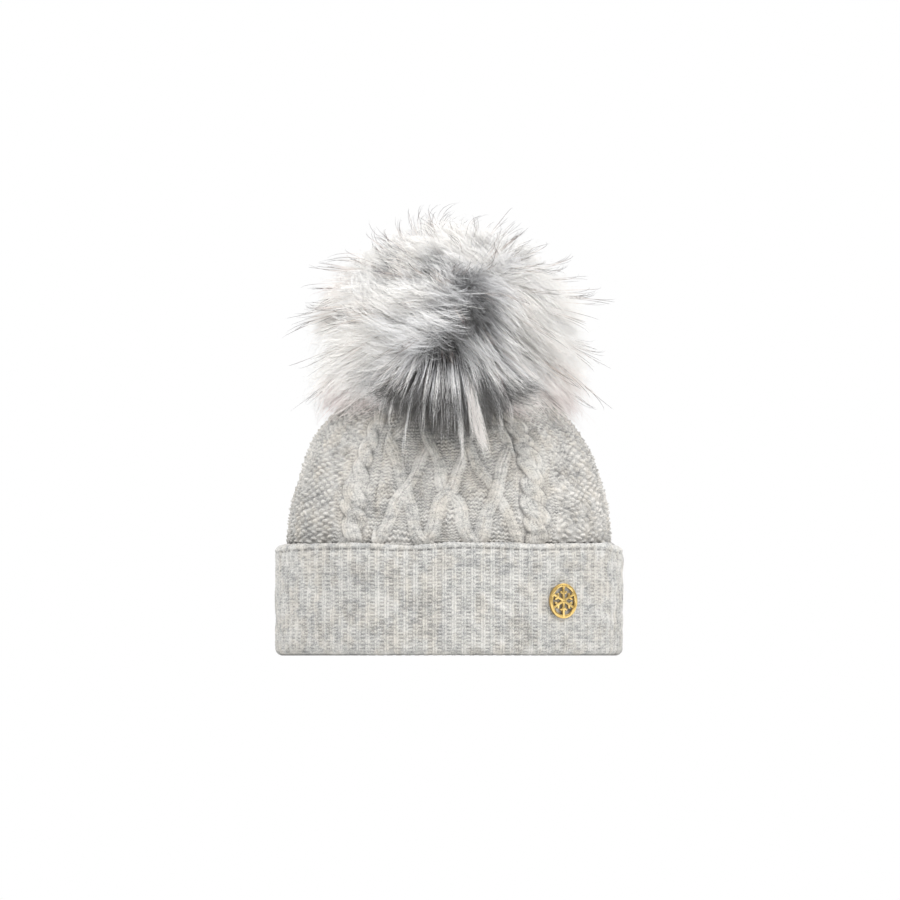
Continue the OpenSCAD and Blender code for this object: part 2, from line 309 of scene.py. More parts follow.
def lattice_height(x, v):
    """Travelling strands that cross in ogees over puffed reverse stockinette."""
    t = (v - (DIAMOND_Z - CUFF_H)) / DIAMOND_H
    t = t + 0.35 * np.sin(2 * TAU * t) / (2 * TAU)
    steep = DIAMOND_W / DIAMOND_H * (1 + 0.35 * np.cos(2 * TAU * t))
    slant = 1 / np.sqrt(1 + steep ** 2)
    best = np.full(np.broadcast(x, v).shape, -9 * MM)
    sides = []
    for way in (-1, 1):
        along = x / DIAMOND_W + way * t
        sides.append((np.round(along), (along - np.round(along)) * DIAMOND_W * slant))
    parity = (sides[0][0] + sides[1][0]) % 2
    for i, (_, dx) in enumerate(sides):
        other = sides[1 - i][1]
        over = np.where(parity == i, 1, -1) * np.exp(-(other / (5.0 * MM)) ** 2)
        top = round_top(dx, STRAND_HALF_W)
        wale = knit_wale(2 * frac(dx / STRAND_HALF_W) - 1, v / ROW_H)
        h = MM * (-1.2 + 0.8 * over + 1.4 * top ** 1.5 + 0.8 * wale * top)
        best = np.maximum(best, np.where(top > 0, h, -9 * MM))
    puff = 1.5 * (np.sin(math.pi * (x / DIAMOND_W - t)) * np.sin(math.pi * (x / DIAMOND_W + t))) ** 2
    ground = MM * (puff - 0.9) + purl_height(x / STITCH_W, v / ROW_H)
    return np.maximum(ground, best)


# Where the patterns are, along the crown's edge from the middle of the front or of the back
ROPE_U = (-62 * MM, 56 * MM)
BACK_ROPE_U = 58 * MM
LATTICE_EDGE = 47 * MM
PANEL_U, PANEL_EDGE = -2 * MM, 72 * MM


def crown_height(u, v, length):
    """Height of the crown's knit. u runs from the front's middle, v up from the cuff's edge."""
    h = seed_height(u / length * SEED_COLUMNS, v / ROW_H)
    ground = purl_height(u / STITCH_W, v / ROW_H) - 0.9 * MM
    panel = 1 - smooth(PANEL_EDGE - 1 * MM, PANEL_EDGE + 1 * MM, np.abs(u - PANEL_U))
    h = h * (1 - panel) + panel * ground
    inner = 1 - smooth(LATTICE_EDGE - 0.5 * MM, LATTICE_EDGE + 0.5 * MM, np.abs(u))
    h = h * (1 - inner) + inner * lattice_height(u, v)
    back = length / 2 - np.abs(u)
    ropes = [u - ROPE_U[0], u - ROPE_U[1]]
    ropes += [back * np.sign(u) - BACK_ROPE_U, back * np.sign(u) + BACK_ROPE_U]
    for x in ropes:
        ditch = np.exp(-(x / (9.5 * MM)) ** 8)
        h = np.maximum(h * (1 - ditch) - 1.2 * MM * ditch, rope_height(x, v))
    seam = np.exp(-(back / (1.1 * MM)) ** 2)
    return h - 1.1 * MM * seam


# ---------------------------------------------------------------- the knitted pieces


def path_points(segments):
    """Joins straight runs and arcs of a section: each is a function of 0 to 1 and a count."""
    out = []
    for fn, count in segments:
        t = np.arange(count) / count
        out.append(np.stack(fn(t), -1))
    return np.concatenate(out)


def straight(d0, z0, d1, z1):
    return lambda t: (d0 + (d1 - d0) * t, z0 + (z1 - z0) * t)


def bend(d, z, r, a0, a1):
    return lambda t: (d + r * np.cos(np.radians(a0 + (a1 - a0) * t)),
                      z + r * np.sin(np.radians(a0 + (a1 - a0) * t)))


def rib_section():
    """The band's closed section, as depth in from its outer face and height: up the outer face, over
    the edge, down the hidden gap, up the inner layer, down the inside and round the fold."""
    step = fast(0.5)

    def rows(length, size=1.0):
        return max(2, int(round(length / MM / (step * size))))

    top_r = RIB_T / 2
    mid = FOLD_W / 2
    gap_r = RIB_GAP / 2
    inner = RIB_T + RIB_GAP
    quarter, half = math.pi / 2, math.pi
    return path_points([
        (straight(mid, 0, FOLD_R, 0), rows(mid - FOLD_R)),
        (bend(FOLD_R, FOLD_R, FOLD_R, 270, 180), rows(FOLD_R * quarter)),
        (straight(0, FOLD_R, 0, CUFF_H - top_r), rows(CUFF_H - top_r - FOLD_R)),
        (bend(top_r, CUFF_H - top_r, top_r, 180, 0), rows(top_r * half, 0.8)),
        (straight(RIB_T, CUFF_H - top_r, RIB_T, GAP_SEEN_Z), rows(CUFF_H - top_r - GAP_SEEN_Z, 1.6)),
        (straight(RIB_T, GAP_SEEN_Z, RIB_T, RIB_T + gap_r), 6),
        (bend(RIB_T + gap_r, RIB_T + gap_r, gap_r, 180, 360), 4),
        (straight(inner, RIB_T + gap_r, inner, LINK_Z), 6),
        (straight(inner, LINK_Z, FOLD_W, LINK_Z), 4),
        (straight(FOLD_W, LINK_Z, FOLD_W, FOLD_R), rows(LINK_Z - FOLD_R, 1.5)),
        (bend(FOLD_W - FOLD_R, FOLD_R, FOLD_R, 0, -90), rows(FOLD_R * quarter)),
        (straight(FOLD_W - FOLD_R, 0, mid, 0), rows(mid - FOLD_R)),
    ])


def rib_lift(u, run, d, z):
    """Height of the band's stitches, with the cast-on bead at its edge, flatter over the fold."""
    lift = rib_height(u, run / ROW_H)
    outside = d < RIB_T
    edge = smooth(CUFF_H - 3.4 * MM, CUFF_H - 1.8 * MM, z) * outside
    nub = 0.22 * MM * np.cos(2 * TAU * (u - 0.5)) - 0.2 * MM
    lift = lift * (1 - 0.85 * edge) + edge * nub
    below_edge = np.exp(-((z - (CUFF_H - 4.2 * MM)) / (0.9 * MM)) ** 2) * outside
    lift = lift - 0.5 * MM * below_edge
    fold = 1 - smooth(0.4 * MM, 5 * MM, z)
    lift = lift * (1 - 0.6 * fold) - 0.25 * MM * fold
    in_gap = (d > RIB_T * 0.8) & (d < RIB_T + RIB_GAP + 0.1 * MM)
    return np.where(in_gap & (z > RIB_T) & (z < CUFF_H - 8 * MM), -0.3 * MM, lift)


def rib_band_piece():
    """The ribbed band: inner layer, fold and turned-up cuff, one closed skin."""
    sec = rib_section()
    count = RIBS * fast(SAMPLES_PER_RIB)
    theta, _ = even_angles(CUFF_A, CUFF_B, OVAL_N, count)
    d, z = sec[:, :1], sec[:, 1:]
    x, y = oval(CUFF_A - d, CUFF_B - d, OVAL_N, theta[None, :])
    run = np.concatenate([[0], np.cumsum(np.hypot(*np.diff(np.vstack([sec, sec[:1]]), axis=0).T))])
    u = np.arange(count)[None, :] / count * RIBS
    lift = rib_lift(u, run[:-1, None], d, z)
    wave, loose = Ripple(3, 2, 70 * MM, 12), Ripple(4, 2, 22 * MM, 12)
    droop = 3.6 * MM * smooth(0.90, 1.0, np.abs(x) / CUFF_A) * (z / CUFF_H) ** 6 * (d < RIB_T * 1.1)
    z = z + 0 * x - droop + (z / CUFF_H) * 0.5 * MM * wave(x, y)
    p = np.stack([x, y, z], -1)
    normal = grid_normals(np.vstack([p[-1:], p, p[:1]]), True)[1:-1]
    slack = 0.25 * MM * loose(x + z, y - z) * smooth(3 * MM, 12 * MM, sec[:, 1:])
    p = p + normal * (lift + slack)[..., None]
    p[..., 2] = np.maximum(p[..., 2], 0.0)
    us = np.arange(count + 1) / count
    maps = {
        STITCH_MAP: [grid_uv(us * RIBS * 2, run / ROW_H, True, True)],
        BAKE_MAP: [grid_uv(us, run / run[-1], True, True)],
    }
    faces = [grid_faces(len(sec), count, True, True)]
    # The lift attribute is the crease map that the wool turns into painted shade.
    return mesh_object("rib_band_knit", p.reshape(-1, 3), faces, maps, {"lift": relief(lift, True).ravel()})


def crown_levels(a_in, rise, spacing_low, spacing_high, fine_until):
    """Lifts in degrees, from a little under the cuff's edge to the top, and lengths up the front."""
    lifts = np.radians(np.linspace(0, 89.0, 4001))
    steps = np.hypot(np.diff(a_in * np.cos(lifts)), np.diff(rise * np.sin(lifts)))
    run = np.concatenate([[0], np.cumsum(steps)])
    low = np.arange(0, fine_until, spacing_low)
    high = np.arange(fine_until, run[-1], spacing_high)
    want = np.concatenate([low, high])
    return np.interp(want, run, lifts), want


def crown_shell(inset, spacing, coarse, count):
    """Points, u and v of the crown's outer skin (inset 0) or inner one, below the cuff's edge too."""
    a, b, rise = CROWN_A - inset, CROWN_B - inset, CROWN_RISE - inset
    lifts, run = crown_levels((a + b) / 2, rise, spacing, coarse, 95 * MM)
    below = np.arange(CUFF_H - LINK_Z, 0, -1.0 * MM)
    theta, length = even_angles(CROWN_A, CROWN_B, OVAL_N, count)
    rings = []
    for lift in lifts:
        n = 2 + (OVAL_N - 2) * math.cos(lift)
        x, y = oval(a * math.cos(lift), b * math.cos(lift), n, theta)
        rings.append(np.stack([x, y, np.full(count, CUFF_H + rise * math.sin(lift))], -1))
    x, y = oval(a, b, OVAL_N, theta)
    base = [np.stack([x, y, np.full(count, CUFF_H - z)], -1) for z in below]
    p = np.array(base + rings)
    v = np.concatenate([-below, run])
    share = np.arange(count) / count
    u = np.where(share < 0.5, share, share - 1) * length
    return p, u, v, length


def crown_piece():
    """The cable-knit crown: outer skin with the stitches, inner skin with the wrong side."""
    count = CROWN_STITCHES * fast(SAMPLES_PER_STITCH)
    p, u, v, length = crown_shell(0, fast(0.5) * MM, fast(0.8) * MM, count)
    normal = grid_normals(p, True)
    warp = [1.1 * MM * Ripple(seed, 3, 30 * MM, 12)(p[..., 0], p[..., 1], p[..., 2]) for seed in (5, 6)]
    lift = crown_height(u[None, :] + warp[0], v[:, None] + warp[1], length)
    near_top = smooth(CROWN_TOP - 1.5 * MM, CROWN_TOP - 0.3 * MM, p[..., 2])
    lift = lift * (1 - near_top) - 0.6 * MM * near_top
    tucked = smooth(-3 * MM, 2 * MM, v)[:, None]
    lift = np.where(lift > 0, lift * (0.35 + 0.65 * tucked), lift)
    loose = Ripple(8, 3, 30 * MM, 16)
    slack = 0.5 * MM * loose(p[..., 0], p[..., 1], p[..., 2]) * smooth(0, 20 * MM, v)[:, None]
    slack = slack * (1 - smooth(CROWN_TOP - 12 * MM, CROWN_TOP - 4 * MM, p[..., 2]))
    outer = p + normal * (lift + slack)[..., None]

    inner_count = CROWN_STITCHES * 2
    q, ui, vi, _ = crown_shell(CROWN_T, 1.2 * MM, 2.4 * MM, inner_count)
    back = purl_height(ui[None, :] / STITCH_W, vi[:, None] / (2 * ROW_H)) * 1.2
    inner = q - grid_normals(q, True) * back[..., None]
    inner = inner[:, ::-1]

    rows, rows_in = len(v), len(vi)
    us, ui_s = np.arange(count + 1) / count, np.arange(inner_count + 1) / inner_count
    faces = [
        grid_faces(rows, count, True),
        grid_faces(rows_in, inner_count, True, start=rows * count),
    ]
    maps = {
        STITCH_MAP: [grid_uv(us * CROWN_STITCHES, v / ROW_H, True),
                     grid_uv(ui_s * CROWN_STITCHES, vi / ROW_H, True)],
        BAKE_MAP: [grid_uv(us, 0.3 + 0.7 * spread(v), True),
                   grid_uv(ui_s, 0.28 * spread(vi), True)],
    }
    # The lift attribute, on both skins, is the crease map that the wool turns into painted shade.
    back_relief = relief(back + 0 * q[..., 0], False)[:, ::-1]
    height = np.concatenate([relief(lift, False).ravel(), back_relief.ravel()])
    points = np.concatenate([outer.reshape(-1, 3), inner.reshape(-1, 3)])
    return mesh_object("crown_cable_knit", points, faces, maps, {"lift": height})


# ---------------------------------------------------------------- thread, seams and label


def tube(name, path, radius, plies=2, pitch=1.6 * MM, closed=True, sides=8):
    """Twisted thread along path, ends closed to a point where it isn't a ring."""
    ahead = np.roll(path, -1, axis=0) - np.roll(path, 1, axis=0) if closed else np.gradient(path, axis=0)
    along = unit(ahead)
    side = unit(np.cross(along, np.array([0.31, 0.17, 0.93])))
    up = np.cross(side, along)
    run = np.concatenate([[0], np.cumsum(np.linalg.norm(np.diff(path, axis=0), axis=1))])
    angle = np.arange(sides) * TAU / sides
    lobes = np.abs(np.cos(plies * angle[None, :] / 2 + TAU * run[:, None] / pitch))
    r = radius * (0.70 + 0.30 * lobes)
    if not closed:
        r[0] = r[-1] = radius * 0.05
    ring = side[:, None] * np.cos(angle)[None, :, None] + up[:, None] * np.sin(angle)[None, :, None]
    points = path[:, None] + ring * r[..., None]
    rows = len(path)
    us = np.linspace(0, 1, sides + 1)
    vs = np.linspace(0, 1, rows + (1 if closed else 0))
    faces = grid_faces(rows, sides, True, closed)[:, ::-1]
    maps = {BAKE_MAP: [grid_uv(us, vs, True, closed)[:, ::-1]]}
    return mesh_object(name, points.reshape(-1, 3), [faces], maps)


def ring_path(radius, z, count):
    t = np.arange(count) * TAU / count
    return np.stack([radius * np.cos(t), radius * np.sin(t), np.full(count, z)], -1)


def link_seam_piece():
    """The linked seam inside: a chain of loops round the bottom of the crown."""
    lo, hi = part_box("crown_link_seam")
    loops, per = 184, 12
    theta, _ = even_angles(hi.x, hi.y, OVAL_N, loops * per)
    wave = TAU * np.arange(loops * per) / per
    x, y = oval(hi.x, hi.y, OVAL_N, theta)
    inward = unit(np.stack([x, y], -1)) * (0.75 + 0.3 * np.cos(wave))[:, None] * MM
    z = (lo.z + hi.z) / 2 + 0.42 * MM * np.sin(wave) * (1 + 0.3 * np.sin(2 * wave))
    path = np.stack([x - inward[:, 0], y - inward[:, 1], z], -1)
    return tube("link_seam_chain", path, 0.42 * MM, 2, 5 * MM)


def back_seam_piece():
    """The ridge of the back seam inside the crown, with its overlocked edge."""
    half_w, thick, per = 2.5 * MM, 1.3 * MM, 13
    b, h = CROWN_B - CROWN_T, CROWN_RISE - CROWN_T
    lift = np.radians(np.linspace(0, 68, 240))
    y, z = b * np.cos(lift), CUFF_H + h * np.sin(lift)
    n = unit(np.stack([np.cos(lift) / b, np.sin(lift) / h], -1))
    run = np.concatenate([[0], np.cumsum(np.hypot(np.diff(y), np.diff(z)))])
    w = np.linspace(-1, 1, per)
    swell = thick * (1 - np.abs(w) ** 4)[None, :]
    thread = 0.28 * MM * np.abs(np.sin(math.pi * (run[:, None] / (2.4 * MM) + 0.5 * np.abs(w)[None, :])))
    out = swell + thread * (1 - w ** 2)[None, :] - 0.28 * MM
    low = np.full((len(lift), per), -0.5 * MM)
    heights = np.concatenate([out, low[:, ::-1]], axis=1)
    across = np.concatenate([w, w[::-1]]) * half_w
    points = np.stack([
        np.broadcast_to(across, heights.shape),
        y[:, None] - heights * n[:, :1],
        z[:, None] - heights * n[:, 1:],
    ], -1)
    cols = 2 * per
    us, vs = np.linspace(0, 1, cols + 1), run / run[-1]
    faces = grid_faces(len(lift), cols, True)
    first = np.arange(cols)
    ends = np.stack([first, (len(lift) - 1) * cols + first[::-1]])
    maps = {STITCH_MAP: [grid_uv(us * 6, run / ROW_H, True), np.zeros((2, cols, 2))],
            BAKE_MAP: [grid_uv(us, vs, True), np.zeros((2, cols, 2))]}
    # The lift attribute is the crease map that the wool turns into painted shade.
    height = relief(np.concatenate([out, low], axis=1), False)
    floats = {"lift": height.ravel()}
    return mesh_object("back_seam_ridge", points.reshape(-1, 3), [faces, ends], maps, floats)


def tack_piece(side):
    """A bar tack: thread zigzagged over the label's corner."""
    lo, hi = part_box("label_bar_tacks")
    x = side * (hi.x - 0.5 * MM)
    k = np.arange(120)
    t = k / (len(k) - 1)
    zig = np.abs(2 * frac(t * 11) - 1) * 2 - 1
    path = np.stack([x + 0.42 * MM * zig, np.full(len(k), (lo.y + hi.y) / 2) + 0.12 * MM * np.cos(9 * k),
                     lo.z + (hi.z - lo.z) * (0.06 + 0.88 * t)], -1)
    return tube("label_tack_" + ("right" if side > 0 else "left"), path, 0.24 * MM, 2, 0.8 * MM, False, 6)


def label_piece():
    """The blank care label, a satin ribbon folded once with a soft curl, and its size laid flat."""
    lo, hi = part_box("care_label")
    ply, cols = 0.26 * MM, 27
    y0, y1, top, bottom = lo.y + ply / 2, hi.y - ply / 2, hi.z, lo.z
    fold_r = (y1 - y0) / 2
    drop = np.linspace(top, bottom + fold_r, 60)
    turn = np.radians(np.linspace(0, 180, 10)[1:-1])
    mid_y = (y0 + y1) / 2
    line = np.concatenate([
        np.stack([np.full(60, y0), drop], -1),
        np.stack([mid_y - fold_r * np.cos(turn), bottom + fold_r - fold_r * np.sin(turn)], -1),
        np.stack([np.full(60, y1), drop[::-1]], -1),
    ])
    tangent = unit(np.gradient(line, axis=0))
    n = np.stack([-tangent[:, 1], tangent[:, 0]], -1) * ply / 2
    loop = np.concatenate([line + n, (line - n)[::-1]])
    x = np.linspace(lo.x, hi.x, cols)
    curl = -0.10 * MM * (2 * x / (hi.x - lo.x)) ** 2 + 0.08 * MM * np.cos(x * 500)
    rows = len(loop)
    points = np.stack([
        np.broadcast_to(x, (rows, cols)),
        loop[:, :1] + curl[None, :] * (top - loop[:, 1:]) / (top - bottom),
        np.broadcast_to(loop[:, 1:], (rows, cols)),
    ], -1)
    i = np.arange(len(line) - 1)
    flip = rows - 1 - i
    left = np.stack([i, i + 1, flip - 1, flip], -1) * cols
    caps = np.concatenate([left, left[:, ::-1] + cols - 1])
    us, vs = np.linspace(0, 1, cols), np.linspace(0, 1, rows + 1)
    maps = {BAKE_MAP: [grid_uv(us, vs, False, True), np.zeros((len(caps), 4, 2))]}
    faces = [grid_faces(rows, cols, False, True), caps]
    label = mesh_object("care_label_ribbon", points.reshape(-1, 3), faces, maps)
    length = np.linalg.norm(np.diff(line, axis=0), axis=1).sum()
    return label, (hi.x - lo.x, float(length))


# ---------------------------------------------------------------- the pom's bag


def bag_section(r, z, count):
    """Half outline of the bag's ellipsoid, from its mouth to its top."""
    a = np.linspace(math.asin(BAG_MOUTH / r), math.pi - 0.002, count)
    return np.stack([r * np.sin(a), BAG_Z - z * np.cos(a)], -1)


def backing_piece():
    """The fur's knitted backing, sewn into a bag and gathered in pleats round its mouth."""
    thick, pleats = 1.5 * MM, 28
    cols = 12 * pleats
    outer = bag_section(BAG_R, BAG_H, 90)
    inner = bag_section(BAG_R - thick, BAG_H - thick, 60)[::-1]
    loop = np.concatenate([outer, inner])
    rows = len(loop)
    turn = np.arange(cols) * TAU / cols
    near = np.exp(-((loop[:, 0] - BAG_MOUTH) / (9 * MM)) ** 2) * (loop[:, 1] < BAG_Z)
    folds = np.cos(pleats * turn) + 0.3 * np.cos(2 * pleats * turn + 1)
    pleat = near[:, None] * 0.9 * MM * folds[None, :]
    r = loop[:, :1] + 0.35 * pleat
    z = loop[:, 1:] + 0.8 * pleat
    points = np.stack([r * np.cos(turn), r * np.sin(turn), z], -1)
    us, vs = np.linspace(0, 1, cols + 1), np.linspace(0, 1, rows + 1)
    maps = {STITCH_MAP: [grid_uv(us * 120, vs * 90, True, True)], BAKE_MAP: [grid_uv(us, vs, True, True)]}
    # Painted shade: the inward folds of the pleats get a low lift, which the jersey turns into darker colour
    # in the folds.
    lift = np.clip(0.6 + pleat / (2 * MM), 0, 1)
    faces = grid_faces(rows, cols, True, True)
    return mesh_object("fur_backing_bag", points.reshape(-1, 3), [faces], maps, {"lift": lift.ravel()})


def stuffing_piece():
    """Lumpy fibre filling."""
    lo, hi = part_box("pom_stuffing")
    rows, cols = 60, 96
    a = np.linspace(0.01, math.pi - 0.01, rows)[:, None]
    t = (np.arange(cols) * TAU / cols)[None, :]
    d = np.stack([np.sin(a) * np.cos(t), np.sin(a) * np.sin(t), -np.cos(a) + 0 * t], -1)
    lumps = Ripple(40, 3, 0.7, 30)(d[..., 0], d[..., 1], d[..., 2])
    size = 0.955 + 0.022 * np.clip(lumps, -1.5, 1.5)
    half = np.array([hi.x, hi.y, (hi.z - lo.z) / 2])
    points = np.array([0, 0, BAG_Z]) + d * half * size[..., None]
    us, vs = np.linspace(0, 1, cols + 1), np.linspace(0, 1, rows)
    first = np.arange(cols)
    faces = [grid_faces(rows, cols, True), np.stack([first[::-1], (rows - 1) * cols + first])]
    maps = {BAKE_MAP: [grid_uv(us, vs, True), np.zeros((2, cols, 2))]}
    return mesh_object("pom_fibre_filling", points.reshape(-1, 3), faces, maps)


def badge_piece():
    """The badge, with its edges rounded as a casting's are."""
    bm = bmesh.new()
    bm.from_mesh(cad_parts["badge"].data)
    bmesh.ops.remove_doubles(bm, verts=bm.verts, dist=0.002 * MM)
    bmesh.ops.dissolve_limit(bm, angle_limit=math.radians(3), verts=bm.verts, edges=bm.edges)
    sharp = [e for e in bm.edges if len(e.link_faces) == 2 and e.calc_face_angle(0) > math.radians(40)]
    bmesh.ops.bevel(bm, geom=sharp, offset=0.28 * MM, segments=3, profile=0.5, affect="EDGES",
                    clamp_overlap=True)
    me = bpy.data.meshes.new("badge_casting")
    bm.to_mesh(me)
    bm.free()
    me.polygons.foreach_set("use_smooth", np.full(len(me.polygons), True))
    me.set_sharp_from_angle(angle=math.radians(35))
    ob = bpy.data.objects.new("badge_casting", me)
    bpy.context.scene.collection.objects.link(ob)
    return ob


# ---------------------------------------------------------------- fur

def envelope(d):
    """The pom's outer surface in direction d from its middle: peaked above, square below."""
    up = d[..., 2] > 0
    n = np.where(up, 1.6, 5.0)
    half = np.where(up, POM_UP, POM_DOWN)
    r = (np.hypot(d[..., 0], d[..., 1]) / POM_A) ** n + (np.abs(d[..., 2]) / half) ** n
    return POM + d * (r ** (-1 / n))[..., None]


def bag_point(d):
    """Where a hair that sets off in direction d grows."""
    r = (np.hypot(d[..., 0], d[..., 1]) / BAG_R) ** 2 + (d[..., 2] / BAG_H) ** 2
    return np.array([0, 0, BAG_Z]) + d * (r ** -0.5)[..., None]


def parting(p):
    """Which way fur lies at p, away from the parting of its side, and how far from it p is."""
    a, b = PARTING
    mirror = np.where(p[..., 1:2] < 0, 1.0, -1.0) * np.array([1, 0]) + np.array([0, 1])
    q = p[..., [0, 2]] * mirror
    t = np.clip(((q - a) @ (b - a)) / ((b - a) @ (b - a)), 0, 1)
    away = q - (a + t[..., None] * (b - a))
    size = np.linalg.norm(away, axis=-1, keepdims=True)
    way = away / (size + 5 * MM) * mirror
    return np.stack([way[..., 0], 0 * way[..., 0], way[..., 1]], -1), size[..., 0]


def spiral(count):
    """Evenly spread directions on a sphere."""
    i = np.arange(count) + 0.5
    z = 1 - 2 * i / count
    a = i * TAU * 0.6180339887
    r = np.sqrt(1 - z * z)
    return np.stack([r * np.cos(a), r * np.sin(a), z], -1)


def bezier(p0, p1, p2, p3, s):
    """Points of cubic curves, one for each row of s."""
    s = s[..., None]
    q = 1 - s
    return q ** 3 * p0 + 3 * q * q * s * p1 + 3 * q * s * s * p2 + s ** 3 * p3


def hairs(name, path, radius, tone, dark=1.0):
    """One mesh of closed, tapered, three-sided hairs. path is (hairs, points, 3), tips last.

    The bake map holds the way along a hair and the hair's tone. dark over 1 makes more of it dark.
    """
    sides = 3
    path = np.clip(path, -HAIR_REACH, HAIR_REACH)
    count, k, _ = path.shape
    along = unit(np.gradient(path, axis=1))
    ref = np.array([0.31, 0.17, 0.93])
    side = unit(np.cross(along, ref))
    up = np.cross(side, along)
    s = np.linspace(0, 1, k)[: k - 1]
    taper = (1 - s ** 2.2) * 0.85 + 0.15
    angle = np.arange(sides) * TAU / sides
    ring = side[:, : k - 1, None] * np.cos(angle)[:, None] + up[:, : k - 1, None] * np.sin(angle)[:, None]
    points = path[:, : k - 1, None] + ring * (radius[:, None] * taper[None, :])[..., None, None]
    per = (k - 1) * sides + 1
    points = np.concatenate([points.reshape(count, -1, 3), path[:, -1:]], axis=1)
    i = np.arange(k - 2)[:, None] * sides
    j = np.arange(sides)[None, :]
    m = (j + 1) % sides
    quads = np.stack([i + j, i + m, i + sides + m, i + sides + j], -1).reshape(-1, 4)
    last = (k - 2) * sides
    tips = np.stack([last + j[0], last + m[0], np.full(sides, per - 1)], -1)
    root = np.arange(sides)[::-1][None, :]
    offset = (np.arange(count) * per)[:, None, None]
    ends = np.concatenate([(tips + offset).reshape(-1, 3), (root + offset).reshape(-1, 3)])
    faces = [(quads + offset).reshape(-1, 4), ends]
    point_s = np.concatenate([np.repeat(s, sides), [1.0]]) ** dark
    uv_point = np.stack([
        np.broadcast_to(point_s, (count, per)), np.broadcast_to(tone[:, None], (count, per)),
    ], -1).reshape(-1, 2)
    uvs = [uv_point[f] for f in faces]
    return mesh_object(name, points.reshape(-1, 3), faces, {BAKE_MAP: uvs})


def locks(rng, tip_dir, each, reach, fan, clump, size, points):
    """Paths of locks of hair. Each lock's tip is at tip_dir, its roots further back along the lie.

    reach is how far back, fan how its roots spread, clump how its tips do, and size its length.
    Gives the paths, each hair's lock, and how far each lock's tip is from the parting and the whorl.
    """
    n = len(tip_dir)
    tip = envelope(tip_dir)
    normal = unit(tip - POM)
    ruffle = np.stack([Ripple(20 + k, 3, 0.6, 20)(*tip_dir.T) for k in range(3)], -1)
    way, far = parting(tip + 5 * MM * ruffle + 3 * MM * rng.normal(size=(n, 3)))
    whorl = np.linalg.norm((tip - WHORL)[:, [0, 2]], axis=1)
    way = way + 0.26 * ruffle + 0.13 * rng.normal(size=(n, 3))
    way = way - normal * np.sum(way * normal, -1, keepdims=True)
    # The fur dips along the parting and at the whorl, and hangs lower at the two sides
    dent = 5 * MM * np.exp(-(far / (15 * MM)) ** 2) * (tip_dir[:, 2] < 0.6)
    dent += 15 * MM * np.exp(-(whorl / (15 * MM)) ** 2)
    tip = POM + (tip - POM) * size[:, None] - normal * dent[:, None]
    side = np.maximum(smooth(0.25, 0.6, tip_dir[:, 0]), smooth(0.5, 0.85, -tip_dir[:, 0]))
    tip[:, 2] -= 13 * MM * side * smooth(0.05, -0.35, tip_dir[:, 2])
    i = np.repeat(np.arange(n), each)
    total = len(i)
    pull = np.minimum(reach * rng.uniform(0.75, 1.25, n), 0.9 * far + 3 * MM)[i][:, None]
    root_dir = unit(unit(tip[i] - way[i] * pull - POM) + fan * rng.normal(size=(total, 3)))
    p0 = bag_point(root_dir) - root_dir * 2 * MM
    p3 = tip[i] + (clump * rng.uniform(0.3, 1.6, n))[i][:, None] * rng.normal(size=(total, 3))
    p3 = p0 + (p3 - p0) * rng.uniform(0.84, 1.04, (total, 1))
    shoulder_dir = unit(0.55 * root_dir + 0.45 * unit(p3 - POM))
    depth = np.linalg.norm(p3 - POM, axis=1) / np.linalg.norm(envelope(unit(p3 - POM)) - POM, axis=1)
    shoulder = POM + (envelope(shoulder_dir) - POM) * (depth * rng.uniform(0.88, 1.0, total))[:, None]
    p1 = p0 + (shoulder - p0) * 0.5 + root_dir * 4 * MM
    p2 = shoulder + (shoulder - p0) * 0.06
    s = np.linspace(0, 1, points)[None, :] + np.zeros((total, 1))
    path = bezier(p0[:, None], p1[:, None], p2[:, None], p3[:, None], s)
    return path + wiggle(rng, s, 0.6 * MM), i, far, whorl


def wiggle(rng, s, size):
    """Small waves that grow towards the tips."""
    total = len(s)
    turns = rng.uniform(3, 8, (total, 1, 3))
    start = rng.uniform(0, TAU, (total, 1, 3))
    return size * np.sin(s[..., None] * turns + start) * (s ** 1.5)[..., None]


